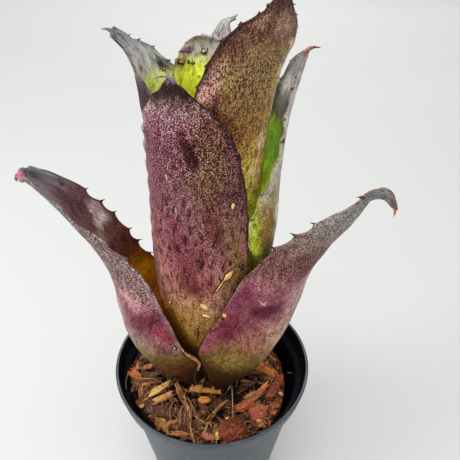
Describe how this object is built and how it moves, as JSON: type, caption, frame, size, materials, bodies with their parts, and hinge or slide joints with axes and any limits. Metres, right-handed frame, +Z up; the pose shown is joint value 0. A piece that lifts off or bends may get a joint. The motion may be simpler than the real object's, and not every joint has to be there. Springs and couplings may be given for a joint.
{
  "type": "potted bromeliad",
  "caption": "Tube-shaped bromeliad with stiff thorn-edged channelled leaves, two arching outward, rooted in bark chips in a round tapered nursery pot with a rolled collar.",
  "frame": {"origin": "centre of the pot's underside, on the pot's axis", "axes": "+Z up along the pot's axis; the plant's broad front leaf faces -Y, its left outer leaf reaches towards -X and its right outer leaf towards +X"},
  "size_m": [0.1424, 0.0994, 0.2713],
  "materials": {
    "pot_plastic": "semi-matte black, slightly scuffed",
    "bark_medium": "rough damp bark chips and husk fibre",
    "stem": "dull fibrous",
    "leaf_front": "maroon with fine silvery scales, satin",
    "leaf_tall": "olive gold speckled maroon, satin",
    "leaf_right_inner": "yellow green with grey top, satin",
    "leaf_back_left": "silvery grey with maroon outside, satin",
    "leaf_back_centre": "lime green with grey purple top, satin",
    "leaf_left_outer": "maroon and silvery lavender, satin",
    "leaf_right_outer": "magenta maroon with olive foot, satin"
  },
  "bodies": {
    "root": {"pot": "pot_plastic", "growing_medium": "bark_medium", "stem": "stem", "leaf_front": "leaf_front", "leaf_tall": "leaf_tall", "leaf_right_inner": "leaf_right_inner", "leaf_back_left": "leaf_back_left", "leaf_back_centre": "leaf_back_centre", "leaf_left_outer": "leaf_left_outer", "leaf_right_outer": "leaf_right_outer"}
  },
  "joints": []
}
